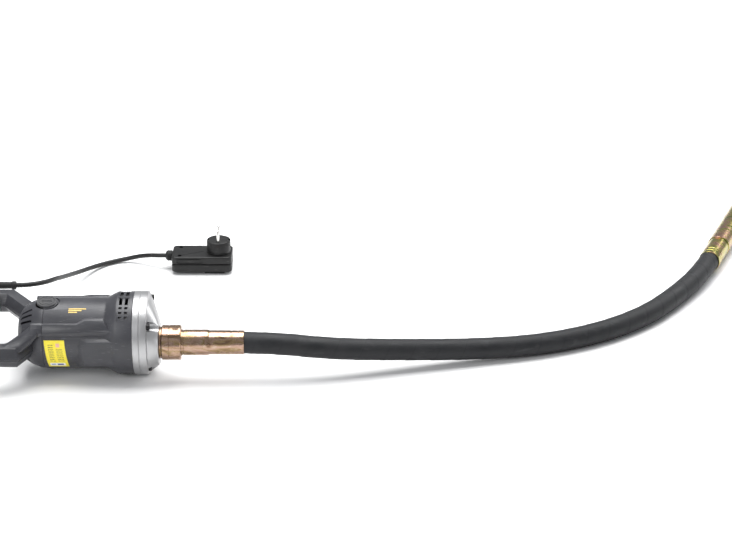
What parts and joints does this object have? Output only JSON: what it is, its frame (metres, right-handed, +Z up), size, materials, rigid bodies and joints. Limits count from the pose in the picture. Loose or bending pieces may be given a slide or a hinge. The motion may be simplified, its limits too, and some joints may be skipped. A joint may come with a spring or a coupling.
{
  "type": "concrete vibrator",
  "caption": "Electric concrete vibrator: ring-handled motor unit with offset gear case, rubber hose over a turning core, and a steel poker head with an eccentric rotor.",
  "frame": {"origin": "on the floor, at the middle of the small flat under the gear case that the unit lies on", "axes": "+X along the motor axis from the handle towards the hose, +Z up, +Y towards the side that the poker and the plug lie on"},
  "size_m": [1.3446, 0.7807, 0.1166],
  "materials": {
    "casing_black": "fine moulded grain",
    "case_aluminium": "bead blasted casting",
    "yellow_zinc": "yellow passivated zinc",
    "poker_zinc": "olive passivated zinc",
    "hose_rubber": "matte, cloth wrapped",
    "soft_rubber": "matte",
    "screw_black": "black oxide",
    "steel": "ground",
    "laminations": "stacked sheet",
    "copper": "enamelled wire",
    "brass": "plain",
    "carbon": "pressed carbon",
    "fan_plastic": "plain",
    "trigger_grey": "satin",
    "label_film": "printed film",
    "plug_black": "satin",
    "pin_nickel": "nickel plated",
    "board_green": "laminate"
  },
  "bodies": {
    "power_unit": {"motor_barrel": "casing_black", "upper_handle_casing": "casing_black", "lower_handle_casing": "casing_black", "handle_screws": "screw_black", "gear_case_plate": "case_aluminium", "gear_case_nose": "case_aluminium", "gear_case_screws": "screw_black", "label_plate": "label_film", "fan_baffle": "fan_plastic", "stator_core": "laminations", "field_coils": "copper", "armature_bearings": "steel", "spindle_bearings": "steel", "spindle_seal": "soft_rubber", "brush_holders": "brass", "brush_springs": "steel", "brush_caps": "casing_black", "trigger_pin": "steel", "switch_body": "fan_plastic", "trigger_spring": "steel", "cord_sleeve": "soft_rubber", "cable_clamp": "fan_plastic", "cord_inside_sleeve": "soft_rubber", "coupling_adapter": "yellow_zinc", "drive_ferrule": "yellow_zinc", "ferrule_bush": "brass", "rubber_hose": "hose_rubber", "flexible_core": "steel", "poker_ferrule": "poker_zinc", "poker_tube": "poker_zinc", "poker_tip": "poker_zinc", "rotor_bearings": "steel", "poker_seal": "soft_rubber", "power_cord": "soft_rubber", "plug_top_shell": "plug_black", "plug_bottom_shell": "plug_black", "plug_pin_boss": "plug_black", "plug_pins": "pin_nickel", "plug_earth_contacts": "pin_nickel", "plug_gland_nut": "soft_rubber", "plug_screws": "screw_black", "button_springs": "steel", "plug_circuit_board": "board_green"},
    "armature": {"armature_shaft": "steel", "armature_core": "laminations", "armature_windings": "copper", "commutator": "copper", "cooling_fan": "fan_plastic", "pinion": "steel"},
    "spindle": {"output_spindle": "steel", "gear_wheel": "steel", "core_drive_end": "steel"},
    "rotor": {"poker_rotor": "steel", "core_tip_end": "steel"},
    "nut": {"coupling_nut": "yellow_zinc"},
    "trigger": {"trigger": "trigger_grey"},
    "upper_brush": {"upper_brush": "carbon"},
    "lower_brush": {"lower_brush": "carbon"},
    "test_button": {"test_button": "trigger_grey"},
    "reset_button": {"reset_button": "plug_black"}
  },
  "joints": [
    {"name": "armature_spin", "type": "hinge", "parent": "power_unit", "child": "armature", "pos_m": [-0.08, 0, 0.058], "axis": [1, 0, 0], "continuous": true},
    {"name": "spindle_spin", "type": "hinge", "parent": "power_unit", "child": "spindle", "pos_m": [0.04, -0.02609, 0.05507], "axis": [1, 0, 0], "continuous": true},
    {"name": "rotor_spin", "type": "hinge", "parent": "power_unit", "child": "rotor", "pos_m": [0.9168, 0.52608, 0.0175], "axis": [0.3665, 0.9304, 0], "continuous": true},
    {"name": "coupling_nut_turn", "type": "hinge", "parent": "power_unit", "child": "nut", "pos_m": [0.04, -0.02609, 0.05507], "axis": [1, 0, 0], "continuous": true},
    {"name": "trigger_press", "type": "hinge", "parent": "power_unit", "child": "trigger", "pos_m": [-0.217, 0.08199, 0.0672], "axis": [0, 0.1115, -0.9938], "range_deg": [0, 5], "stiffness_Nm_per_rad": 2, "springref_deg": -2.86, "deforming": ["trigger_spring"]},
    {"name": "upper_brush_slide", "type": "slide", "parent": "power_unit", "child": "upper_brush", "axis": [0, -0.1115, 0.9938], "range_m": [0, 0.003], "stiffness_N_per_m": 300, "springref_m": -0.002, "deforming": ["brush_springs"]},
    {"name": "lower_brush_slide", "type": "slide", "parent": "power_unit", "child": "lower_brush", "axis": [0, 0.1115, -0.9938], "range_m": [0, 0.003], "stiffness_N_per_m": 300, "springref_m": -0.002, "deforming": ["brush_springs"]},
    {"name": "test_button_press", "type": "slide", "parent": "power_unit", "child": "test_button", "axis": [0, 0, 1], "range_m": [0, 0.0012], "stiffness_N_per_m": 600, "springref_m": -0.0015, "deforming": ["button_springs"]},
    {"name": "reset_button_press", "type": "slide", "parent": "power_unit", "child": "reset_button", "axis": [0, 0, 1], "range_m": [0, 0.0012], "stiffness_N_per_m": 600, "springref_m": -0.0015, "deforming": ["button_springs"]}
  ],
  "couplings": [
    {"joint": "spindle_spin", "follows": "armature_spin", "ratio": -0.44828},
    {"joint": "rotor_spin", "follows": "armature_spin", "ratio": -0.44828}
  ]
}
